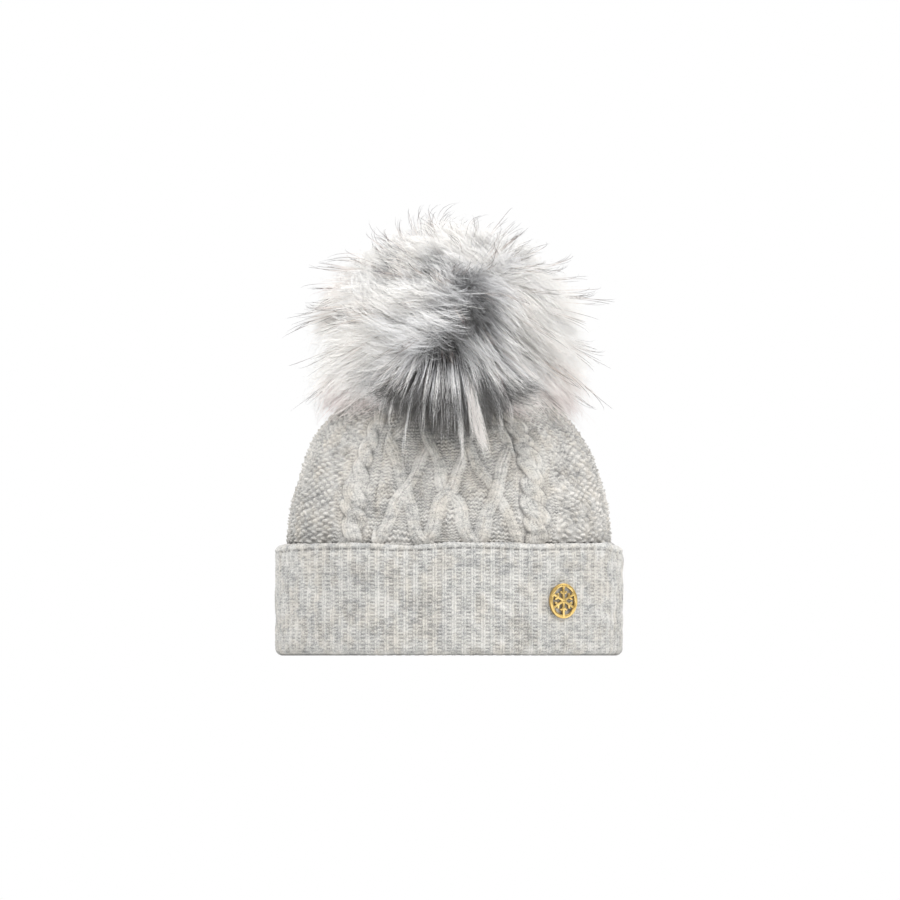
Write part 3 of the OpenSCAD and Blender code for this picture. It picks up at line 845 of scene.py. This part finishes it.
def fur_pieces():
    """The pom's long fur, in one piece for each side, so that each stays a light mesh."""
    rng = np.random.default_rng(11)
    d = spiral(fast(3200))
    d = unit(d + 0.03 * rng.normal(size=d.shape))
    surface = envelope(d)
    rim = np.hypot(surface[:, 0], surface[:, 1])
    lowest = np.where(surface[:, 1] < -40 * MM, 155 * MM, 166 * MM)
    d = d[(surface[:, 2] > lowest) | (rim > 75 * MM)]
    n = len(d)
    size = rng.uniform(0.86, 1.05, n)
    path, i, far, whorl = locks(rng, d, fast(17), 42 * MM, 0.085, 2.2 * MM, size, 8)
    blotch = Ripple(31, 3, 0.5, 20)(*d.T)
    # Darker by the parting and at the whorl, partly hair colour where the grey roots show and partly painted
    # shade of the fur's depth there; darker in the middle of the front as painted shade; lighter low down
    middle = np.exp(-(np.hypot(d[:, 0] - 0.06, d[:, 2] - 0.1) / 0.5) ** 2)
    near = 0.38 * np.exp(-(far / (24 * MM)) ** 2)
    near += (0.9 * np.exp(-(whorl / (24 * MM)) ** 2) + 0.40 * middle) * (d[:, 1] < 0)
    low = smooth(-0.15, -0.5, d[:, 2])
    tone = 0.64 + 0.04 * blotch + 0.05 * rng.normal(size=n) - 0.54 * near + 0.20 * low
    tone = np.clip(tone[i] + 0.05 * rng.normal(size=len(i)), 0.02, 0.98)
    radius = 0.145 * MM * rng.uniform(0.7, 1.3, len(i))
    sector = np.degrees(np.arctan2(d[:, 0], -d[:, 1])) % 360
    names = ["front", "front_right", "right", "back_right", "back", "back_left", "left", "front_left",
             "top_right", "top_back", "top_left"]
    round_it, on_top = (sector + 22.5) // 45 % 8, 8 + sector // 120
    group = np.where(d[:, 2] > 0.60, on_top, round_it).astype(int)[i]
    return [hairs("fur_" + label, path[group == g], radius[group == g], tone[group == g])
            for g, label in enumerate(names)]


def round_front(x, r, z):
    """The point at x and z on the pom's front, r mm from its axis."""
    return np.array([x, -math.sqrt(max(r * r - x * x, 0.2 * r * r)), z])


class Wisps:
    """Loose locks that hang in front of the crown."""

    def __init__(self, seed):
        self.rng = np.random.default_rng(seed)
        self.paths, self.radii, self.tones = [], [], []

    def lock(self, x, z, count, thick, tone, hook, start=176):
        """One lock with its tip at x and z in mm. hook is how far out it goes before it falls."""
        rng = self.rng
        root = -3 + 0.6 * (x + 3)
        a = np.array([0.6 * root, -40, start + 16])
        b = round_front(root + 0.2 * hook * (x - root), 90, start + 3)
        c = round_front(root + hook * (x - root), 93, 0.45 * z + 0.53 * start)
        tip = round_front(x, 89, z)
        loose = rng.normal(size=(4, count, 3)) * thick
        s = np.linspace(0, 1, 12)[None, :] + np.zeros((count, 1))
        ends = [(p + k * l)[:, None] * MM for p, k, l in zip((a, b, c, tip), (1.5, 1.6, 1.8, 0.7), loose)]
        ends[3] = ends[2] + (ends[3] - ends[2]) * rng.uniform(0.4, 1.15, (count, 1, 1))
        self.paths.append(bezier(*ends, s) + wiggle(rng, s, 1.2 * MM))
        self.radii.append(0.11 * MM * rng.uniform(0.6, 1.3, count))
        self.tones.append(np.clip(tone + 0.08 * rng.normal(size=count), 0.02, 0.98))

    def piece(self, name):
        joined = [np.concatenate(parts) for parts in (self.paths, self.radii, self.tones)]
        # dark=1.8 keeps the wisps at their dark root colour over more of their length, which adds to the
        # painted shade under the pom.
        return hairs(name, *joined, dark=1.8)


def wisps_piece():
    """A fringe of dark and pale wisps, some long fine ones, and one thick bright lock. The near-black wisps
    are painted shade: a veil of dark hair stands in for the shadow under the pom.
    """
    wisps = Wisps(14)
    rng = wisps.rng
    for _ in range(fast(230)):
        x = rng.uniform(-50, 58)
        low = 44 * math.exp(-(abs(x - 3) / 40) ** 2.6)
        z = 168 - low * rng.uniform(0.2, 1.0) + 3 * rng.normal()
        if rng.uniform() < 0.55:
            # Painted shade: more than half the locks are near-black and spread wide, darkening the crown in
            # front in place of the pom's shadow.
            count = int(rng.uniform(6, 16))
            wisps.lock(x, z, count, 2.6, 0.03, rng.uniform(0.7, 1.15), rng.uniform(158, 168))
        else:
            tone = rng.choice([0.2, 0.4, 0.55]) + 0.2 * (abs(x - 4) > 36)
            count, thick = int(rng.uniform(2, 7)), rng.uniform(0.3, 0.9)
            wisps.lock(x, z, count, thick, tone, rng.uniform(0.8, 1.2), rng.uniform(170, 182))
    for x, z in ((-43, 144), (-37, 138), (-28, 112), (-17, 136), (-9, 141), (14, 134), (33, 132), (40, 140)):
        wisps.lock(x, z, fast(9), 0.5, 0.58, 1.0)
    wisps.lock(9, 117, fast(26), 0.8, 0.60, 0.8, 172)
    wisps.lock(23, 125, fast(300), 1.9, 0.72, 0.35, 170)
    return wisps.piece("fur_wisps")


def skirt_pieces():
    """Undercoat that hangs behind the wisps and all round under the pom's rim. It is darkest in front as
    painted shade: near-black hair stands in for the shadow under the pom.
    """
    rng = np.random.default_rng(15)
    n = fast(9500)
    turn = np.where(rng.uniform(size=n) < 0.4, rng.uniform(0, TAU, n), 0.40 * rng.normal(size=n)) % TAU
    front = np.exp(-(np.sin(turn / 2) / 0.30) ** 2)
    rad = rng.uniform(67, 76, n) + 6 * front
    z = rng.uniform(157, 178, n) - 38 * front * rng.uniform(0, 1, n)
    out = np.stack([np.sin(turn), -np.cos(turn), 0 * turn], -1)
    up = np.array([0, 0, MM])
    tip = out * (rad * MM)[:, None] + up * z[:, None]
    p0 = out * 31 * MM + up * rng.uniform(197, 206, n)[:, None]
    p1 = out * 52 * MM + up * 194
    p2 = out * ((rad + 1) * MM)[:, None] + up * 172
    s = np.linspace(0, 1, 8)[None, :] + np.zeros((n, 1))
    path = bezier(p0[:, None], p1[:, None], p2[:, None], tip[:, None], s)
    # Painted shade: the hairs in front are near-black, standing in for the shadow under the pom, and lighter
    # away from the front.
    off_front = np.minimum(turn, TAU - turn)
    tone = np.clip(0.03 + 0.42 * smooth(0.42, 0.75, off_front) + 0.05 * rng.normal(size=n), 0.01, 0.6)
    path = path + wiggle(rng, s, 2.5 * MM)
    radius = 0.15 * MM * rng.uniform(0.7, 1.3, n)
    thirds = np.array_split(np.argsort(np.sin(turn / 2) * np.sign(np.pi - turn)), 3)
    return [hairs("fur_skirt_" + side, path[k], radius[k], tone[k])
            for side, k in zip(("left", "middle", "right"), thirds)]


def guard_piece():
    """Sparse long guard hairs with dark tips, in small tufts all over."""
    rng = np.random.default_rng(16)
    tufts = 190
    d = unit(spiral(tufts) + 0.12 * rng.normal(size=(tufts, 3)))
    d = d[d[:, 2] > -0.42]
    path = locks(rng, d, 5, 18 * MM, 0.03, 2.0 * MM, rng.uniform(1.08, 1.24, len(d)), 10)[0]
    path = path[np.all(np.abs(path[:, -1]) <= GUARD_REACH, axis=-1)]
    count = len(path)
    return hairs("fur_guard", path, 0.19 * MM * rng.uniform(0.7, 1.2, count), rng.uniform(0.02, 0.98, count))


def underfur_piece():
    """Short dense grey fur close to the bag."""
    rng = np.random.default_rng(12)
    count = fast(9000)
    d = unit(spiral(count) + 0.05 * rng.normal(size=(count, 3)))
    d = d[d[:, 2] > -0.8]
    p0 = bag_point(d) - d * MM
    out = envelope(d)
    way, _ = parting(out)
    p3 = p0 + (out - p0) * rng.uniform(0.35, 0.66, (len(d), 1))
    p3 = p3 + 4 * MM * rng.normal(size=d.shape) + way * 8 * MM
    p1 = p0 + (out - p0) * 0.2
    p2 = (p1 + p3) / 2 + d * 2 * MM
    s = np.linspace(0, 1, 5)[None, :] + np.zeros((len(d), 1))
    path = bezier(p0[:, None], p1[:, None], p2[:, None], p3[:, None], s)
    tone = np.clip(0.25 + 0.12 * rng.normal(size=len(d)), 0.02, 0.98)
    return hairs("fur_underwool", path, 0.3 * MM * rng.uniform(0.7, 1.2, len(d)), tone)


# ---------------------------------------------------------------- materials


def srgb(r, g, b):
    """A colour of a picture, 0 to 255, as the linear one that Blender takes."""
    return tuple(((c / 255 + 0.055) / 1.055) ** 2.4 for c in (r, g, b)) + (1.0,)


def grey(level):
    return (level, level, level, 1)


def set_stops(node, stops):
    """Gives a colour ramp its stops, each a place and a colour."""
    elements = node.color_ramp.elements
    while len(elements) < len(stops):
        elements.new(0.5)
    for element, (at, colour) in zip(elements, stops):
        element.position = at
        element.color = colour


class Nodes:
    """A material and short ways to add nodes to it."""

    def __init__(self, name, roughness, sheen=0.0, metallic=0.0, sheen_roughness=0.5, specular=0.5):
        self.material = bpy.data.materials.new(name)
        self.material.use_nodes = True
        self.tree = self.material.node_tree
        self.shader = self.tree.nodes["Principled BSDF"]
        self.set("Roughness", roughness)
        self.set("Sheen Weight", sheen)
        self.set("Sheen Roughness", sheen_roughness)
        self.set("Metallic", metallic)
        self.set("Specular IOR Level", specular)

    def set(self, socket, value):
        self.shader.inputs[socket].default_value = value

    def add(self, kind, **values):
        node = self.tree.nodes.new(kind)
        for key, value in values.items():
            setattr(node, key, value)
        return node

    def link(self, out, into):
        self.tree.links.new(out, into)
        return self

    def fill(self, socket, value):
        """Links a socket, or sets a plain value."""
        if hasattr(value, "links"):
            self.link(value, socket)
        else:
            socket.default_value = value

    def uv(self, name):
        return self.add("ShaderNodeUVMap", uv_map=name).outputs["UV"]

    def place(self):
        return self.add("ShaderNodeTexCoord").outputs["Object"]

    def scaled(self, vector, scale):
        node = self.add("ShaderNodeMapping")
        self.link(vector, node.inputs["Vector"])
        node.inputs["Scale"].default_value = scale
        return node.outputs["Vector"]

    def noise(self, vector, scale, detail=2.0, roughness=0.5):
        node = self.add("ShaderNodeTexNoise")
        self.link(vector, node.inputs["Vector"])
        node.inputs["Scale"].default_value = scale
        node.inputs["Detail"].default_value = detail
        node.inputs["Roughness"].default_value = roughness
        return node.outputs["Fac"]

    def math(self, operation, a, b=0.0, c=0.0):
        node = self.add("ShaderNodeMath", operation=operation)
        for socket, value in zip(node.inputs, (a, b, c)):
            self.fill(socket, value)
        return node.outputs[0]

    def separate(self, vector):
        node = self.add("ShaderNodeSeparateXYZ")
        self.link(vector, node.inputs[0])
        return node.outputs

    def attribute(self, name):
        return self.add("ShaderNodeAttribute", attribute_name=name).outputs["Fac"]

    def ramp(self, value, stops):
        node = self.add("ShaderNodeValToRGB")
        set_stops(node, stops)
        self.link(value, node.inputs["Fac"])
        return node.outputs["Color"]

    def mix(self, factor, a, b, blend="MIX"):
        node = self.add("ShaderNodeMix", data_type="RGBA", blend_type=blend)
        self.fill(node.inputs["Factor"], factor)
        self.fill(node.inputs[6], a)
        self.fill(node.inputs[7], b)
        return node.outputs[2]

    def bump(self, height, strength, distance):
        node = self.add("ShaderNodeBump")
        self.link(height, node.inputs["Height"])
        node.inputs["Strength"].default_value = strength
        node.inputs["Distance"].default_value = distance
        self.link(node.outputs["Normal"], self.shader.inputs["Normal"])

    def colour(self, value):
        self.link(value, self.shader.inputs["Base Color"])
        return self.material


def wool(name, dark, mid, light, warm):
    """Heather wool: each stitch picks up fibres of several greys, and loose fibres blur it. Its creases
    carry painted shade from the lift attribute.
    """
    m = Nodes(name, 0.92, sheen=0.3, sheen_roughness=0.6, specular=0.2)
    stitch = m.uv(STITCH_MAP)
    runs = m.noise(m.scaled(stitch, (0.5, 0.9, 1)), 1.0, 4.0, 0.7)
    cloud = m.noise(m.place(), 75.0, 4.0, 0.6)
    fibre = m.noise(m.place(), 1500.0, 3.0, 0.7)
    warmth = m.noise(m.scaled(m.place(), (1, 1, 0.6)), 110.0, 2.0, 0.6)
    blend = m.math("ADD", m.math("MULTIPLY", runs, 0.32), m.math("MULTIPLY", cloud, 0.24))
    blend = m.math("MULTIPLY_ADD", fibre, 0.44, blend)
    dark, mid, light, warm = srgb(*dark), srgb(*mid), srgb(*light), srgb(*warm)
    tone = m.ramp(blend, [(0.38, dark), (0.47, mid), (0.54, light), (0.66, light)])
    tone = m.mix(m.ramp(warmth, [(0.46, grey(0)), (0.60, grey(0.55))]), tone, warm, "MULTIPLY")
    # Painted shade: the lift relief darkens the colour down to half in the creases, where shade falls
    # between the stitches.
    lift = m.ramp(m.attribute("lift"), [(0.0, (0.50, 0.50, 0.51, 1)), (0.55, grey(0.88)), (1.0, grey(1))])
    m.bump(m.noise(m.place(), 2400.0, 2.0, 0.7), 0.45, 0.25 * MM)
    return m.colour(m.mix(1.0, tone, lift, "MULTIPLY"))


def fur_material():
    """Hair that is dark at the root. Its own tone, across the map, picks the colour of its tip."""
    m = Nodes("fur", 0.5, sheen=0.2, sheen_roughness=0.4, specular=0.35)
    along, tone, _ = m.separate(m.uv(BAKE_MAP))
    tip = m.ramp(tone, [
        (0.0, srgb(60, 58, 55)), (0.1, srgb(112, 111, 110)), (0.2, srgb(160, 160, 162)),
        (0.45, srgb(240, 240, 241)), (0.68, srgb(254, 252, 248)), (0.84, srgb(246, 238, 235)),
        (1.0, srgb(222, 204, 204))])
    shade = m.ramp(along, [
        (0.0, (0.35, 0.35, 0.36, 1)), (0.16, (0.72, 0.72, 0.73, 1)), (0.30, grey(0.96)), (0.5, grey(1))])
    return m.colour(m.mix(1.0, tip, shade, "MULTIPLY"))


def guard_material():
    """Cream hair whose last third is dark brown."""
    m = Nodes("guard_hair", 0.4, specular=0.5)
    along, tone, _ = m.separate(m.uv(BAKE_MAP))
    base = m.ramp(along, [
        (0.0, srgb(150, 148, 148)), (0.56, srgb(236, 231, 226)), (0.70, srgb(110, 92, 90)),
        (0.80, srgb(44, 32, 32))])
    tint = m.ramp(tone, [(0.0, srgb(205, 205, 210)), (1.0, srgb(255, 246, 240))])
    return m.colour(m.mix(1.0, base, tint, "MULTIPLY"))


def plain(name, a, b, scale, roughness, bump=0.0, grain=1200.0, **surface):
    """Two tones of cloudy noise, with a fine grain."""
    m = Nodes(name, roughness, **surface)
    if bump:
        m.bump(m.noise(m.place(), grain, 3.0, 0.7), 0.6, bump)
    cloud = m.noise(m.place(), scale, 4.0, 0.6)
    return m.colour(m.ramp(cloud, [(0.35, srgb(*a)), (0.65, srgb(*b))]))


def metal(name, a, b, roughness):
    """Metal of two close tones, a little duller in patches."""
    m = Nodes(name, roughness, metallic=1.0)
    cloud = m.noise(m.place(), 260.0, 4.0, 0.6)
    rough = m.add("ShaderNodeMapRange")
    m.link(cloud, rough.inputs["Value"])
    rough.inputs["To Min"].default_value = roughness * 0.7
    rough.inputs["To Max"].default_value = roughness * 1.5
    m.link(rough.outputs["Result"], m.shader.inputs["Roughness"])
    m.bump(m.noise(m.place(), 900.0, 2.0), 0.12, 0.03 * MM)
    return m.colour(m.ramp(cloud, [(0.3, srgb(*a)), (0.7, srgb(*b))]))


def satin():
    """Woven satin: fine warp lines."""
    m = Nodes("label_satin", 0.38, sheen=0.2, specular=0.5)
    weave = m.add("ShaderNodeTexWave", bands_direction="X")
    m.link(m.place(), weave.inputs["Vector"])
    weave.inputs["Scale"].default_value = 900.0
    weave.inputs["Distortion"].default_value = 1.5
    m.bump(weave.outputs["Fac"], 0.3, 0.05 * MM)
    return m.colour(m.ramp(weave.outputs["Fac"], [(0.2, srgb(226, 225, 221)), (0.8, srgb(243, 242, 239))]))


# ---------------------------------------------------------------- stage, light and camera


def world_light():
    """A white surround for the camera. The light it gives is dimmer low down."""
    world = bpy.data.worlds.new("studio")
    bpy.context.scene.world = world
    world.use_nodes = True
    tree = world.node_tree
    back = tree.nodes["Background"]
    where = tree.nodes.new("ShaderNodeTexCoord")
    split = tree.nodes.new("ShaderNodeSeparateXYZ")
    band = tree.nodes.new("ShaderNodeValToRGB")
    set_stops(band, [(0.0, grey(0.30)), (0.40, grey(0.42)), (0.58, grey(0.72)), (1.0, grey(1.30))])
    half = tree.nodes.new("ShaderNodeMath")
    half.operation = "MULTIPLY_ADD"
    half.inputs[1].default_value = half.inputs[2].default_value = 0.5
    tree.links.new(where.outputs["Generated"], split.inputs[0])
    tree.links.new(split.outputs["Z"], half.inputs[0])
    tree.links.new(half.outputs[0], band.inputs["Fac"])
    tree.links.new(band.outputs["Color"], back.inputs["Color"])
    seen = tree.nodes.new("ShaderNodeBackground")
    seen.inputs["Color"].default_value = (1, 1, 1, 1)
    path = tree.nodes.new("ShaderNodeLightPath")
    mix = tree.nodes.new("ShaderNodeMixShader")
    tree.links.new(path.outputs["Is Camera Ray"], mix.inputs[0])
    tree.links.new(back.outputs[0], mix.inputs[1])
    tree.links.new(seen.outputs[0], mix.inputs[2])
    tree.links.new(mix.outputs[0], tree.nodes["World Output"].inputs["Surface"])


def softbox(name, place, aim, size, power):
    """A square light at place that shines at aim."""
    light = bpy.data.lights.new(name, "AREA")
    light.shape = "SQUARE"
    light.size = size
    light.energy = power
    ob = bpy.data.objects.new(name, light)
    bpy.context.scene.collection.objects.link(ob)
    ob.location = place
    direction = Vector(aim) - Vector(place)
    ob.rotation_euler = direction.to_track_quat("-Z", "Y").to_euler()


def floor_sheet():
    """A wide sheet of white paper that the hat stands on."""
    size = 3.0
    corners = np.array([[-size, -size, 0], [size, -size, 0], [size, size, 0], [-size, size, 0]])
    floor = mesh_object("floor", corners, [np.array([[0, 1, 2, 3]])])
    m = Nodes("floor_paper", 0.9, specular=0.1)
    grain = m.noise(m.place(), 40.0)
    paper = m.colour(m.ramp(grain, [(0.3, srgb(243, 243, 242)), (0.7, srgb(247, 247, 246))]))
    floor.data.materials.append(paper)


def camera():
    """Square on to the front, level with the middle of the picture, without perspective."""
    eye = bpy.data.cameras.new("camera")
    eye.type = "ORTHO"
    eye.ortho_scale = VIEW_SIZE
    eye.clip_end = 20
    ob = bpy.data.objects.new("camera", eye)
    bpy.context.scene.collection.objects.link(ob)
    ob.location = VIEW_FROM
    ob.rotation_euler = (math.radians(90), 0, 0)
    bpy.context.scene.camera = ob
    bpy.context.scene.view_settings.view_transform = "Standard"


def stage():
    floor_sheet()
    world_light()
    softbox("key", (-0.3, -0.85, 1.6), (0, 0, 0.14), 0.8, 19.0)
    softbox("fill", (1.5, -0.9, 1.1), (0, 0, 0.18), 1.2, 15.0)
    camera()


# ---------------------------------------------------------------- putting it together


def show(piece, body, material, slot, *nodes):
    """Gives a piece its material and body, and hides the CAD nodes that it stands for. slot is not used."""
    piece.data.materials.clear()
    piece.data.materials.append(material)
    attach(piece, body)
    if nodes:
        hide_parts(*nodes)


def ring_cord(name, node, count, pitch):
    """A ring of twisted thread in place of a CAD ring."""
    lo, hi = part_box(node)
    r = (hi.z - lo.z) / 2
    return tube(name, ring_path(hi.x - r, lo.z + r, count), r, 2, pitch)


def knitwear():
    rib = wool("wool_rib", (120, 121, 123), (168, 168, 166), (206, 204, 200), (248, 243, 236))
    crown = wool("wool_crown", (118, 118, 118), (166, 165, 162), (204, 201, 196), (248, 243, 236))
    seam = wool("wool_seam", (136, 136, 139), (172, 171, 170), (202, 199, 196), (250, 245, 238))
    show(rib_band_piece(), "hat", rib, "rib_knit", "rib_band")
    show(crown_piece(), "hat", crown, "crown_knit", "crown_knit")
    show(back_seam_piece(), "hat", seam, "seam_knit", "back_seam")


def pom():
    fur = fur_material()
    for i, piece in enumerate(fur_pieces()):
        show(piece, "pom", fur, "fur", *(["fur_pile"] if i == 0 else []))
    for piece in [underfur_piece(), wisps_piece()] + skirt_pieces():
        show(piece, "pom", fur, "fur")
    show(guard_piece(), "pom", guard_material(), "fur")
    jersey = wool("backing_jersey", (112, 112, 115), (140, 140, 142), (168, 167, 166), (250, 246, 242))
    show(backing_piece(), "pom", jersey, "fur_backing", "fur_backing")
    filling = plain("fibre_filling", (228, 228, 226), (244, 244, 242), 160.0, 0.9, 0.4 * MM, 1500.0,
                    sheen=0.4)
    stuffing = stuffing_piece()
    show(stuffing, "pom", filling, "stuffing", "pom_stuffing")


def threads(thread):
    show(link_seam_piece(), "hat", thread, "seam_thread", "crown_link_seam")
    draw = ring_cord("crown_draw_cord", "crown_draw_thread", 160, 2.6 * MM)
    show(draw, "hat", thread, "seam_thread", "crown_draw_thread")
    gather = ring_cord("gather_cord", "gather_thread", 200, 2.0 * MM)
    show(gather, "pom", thread, "seam_thread", "gather_thread")
    show(tack_piece(-1), "hat", thread, "seam_thread", "label_bar_tacks")
    show(tack_piece(1), "hat", thread, "seam_thread")


def care_label():
    label, label_flat = label_piece()
    show(label, "label_flap", satin(), "label_satin", "care_label")


def cad_nodes(thread):
    """Materials of the nodes that are seen as the CAD has them."""
    steel = metal("snap_steel", (178, 178, 182), (206, 206, 209), 0.26)
    spring = metal("spring_steel", (200, 200, 204), (222, 222, 225), 0.14)
    felt = plain("felt", (136, 134, 132), (164, 162, 159), 220.0, 0.95, 0.25 * MM, 2600.0, sheen=0.5)
    leather = plain("leather", (140, 136, 131), (158, 154, 148), 300.0, 0.55, 0.12 * MM, 1400.0)
    for material, nodes in (
        (steel, ("snap_socket", "snap_socket_post", "snap_stud", "snap_stud_post", "badge_back_plate")),
        (spring, ("snap_spring_ring",)),
        (felt, ("crown_patch",)),
        (leather, ("pom_base_disc",)),
        (thread, ("patch_stitching", "base_disc_stitching")),
    ):
        for node in nodes:
            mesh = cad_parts[node].data
            mesh.materials.clear()
            mesh.materials.append(material)


stage()
knitwear()
pom()
thread = plain("sewing_thread", (186, 184, 180), (206, 204, 199), 500.0, 0.6, 0.08 * MM, 5000.0, sheen=0.2)
threads(thread)
care_label()
gold = metal("badge_gold", (196, 162, 92), (228, 200, 134), 0.15)
show(badge_piece(), "hat", gold, "badge_gold", "badge")
cad_nodes(thread)
